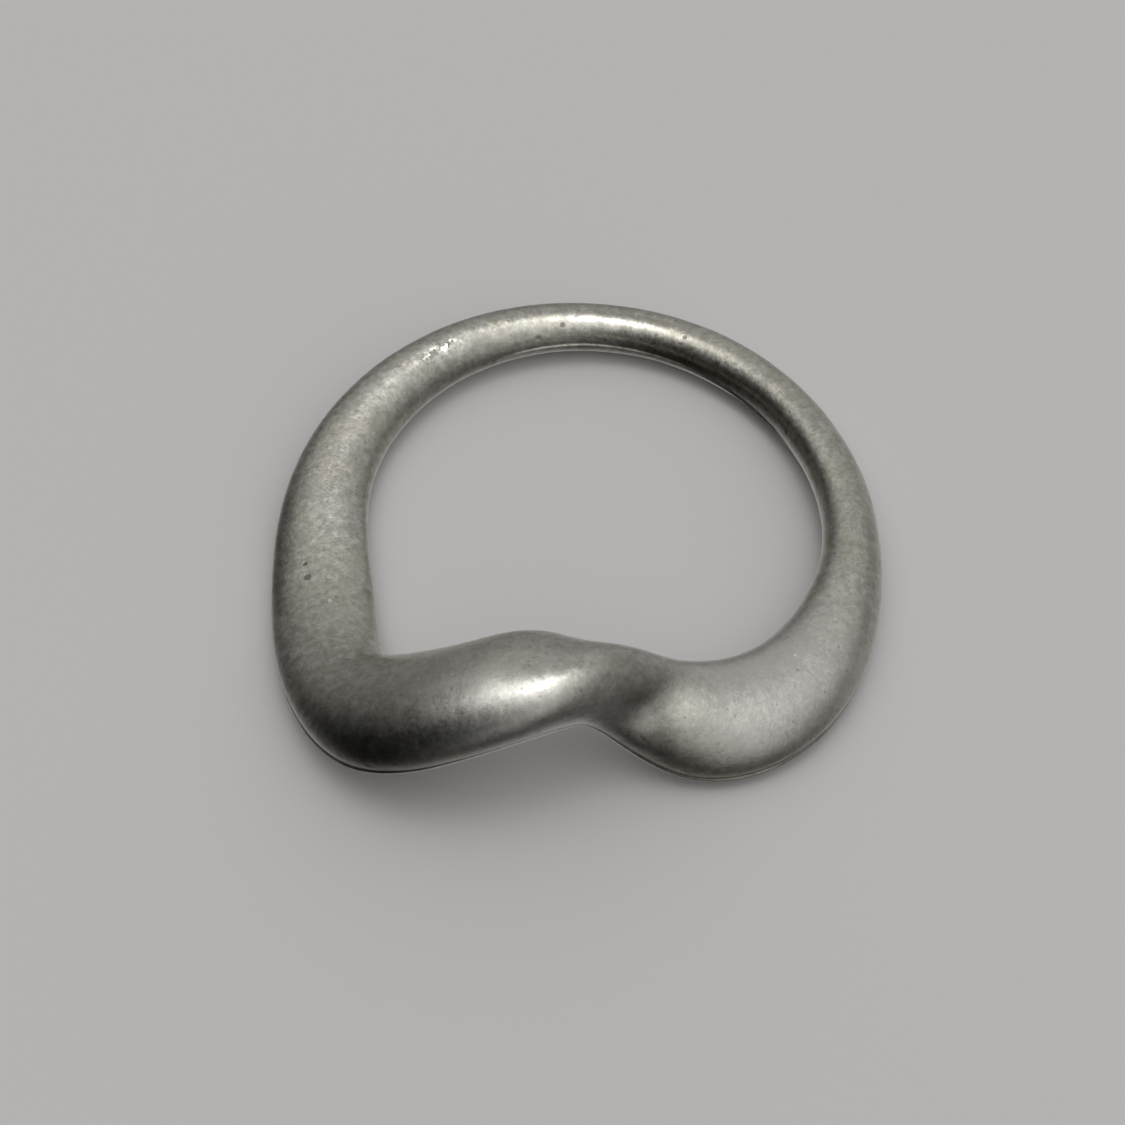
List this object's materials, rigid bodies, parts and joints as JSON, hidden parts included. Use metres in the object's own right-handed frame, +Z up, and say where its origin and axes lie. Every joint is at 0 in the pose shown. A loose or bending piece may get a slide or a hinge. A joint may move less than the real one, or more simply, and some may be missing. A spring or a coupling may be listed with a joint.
{
  "type": "twisted metal ring",
  "caption": "One-piece cast metal band ring, round at the back, swelling to two lobes at the front where the band turns over on itself.",
  "frame": {"origin": "on the axis of the finger hole, at the plane that the ring lies on", "axes": "+Z up along the finger hole's axis, -Y towards the front crossing, +X towards the side of the flatter lobe"},
  "size_m": [0.024, 0.0241, 0.007],
  "materials": {
    "cast_metal": "satin"
  },
  "bodies": {
    "root": {"twisted_band": "cast_metal"}
  },
  "joints": []
}
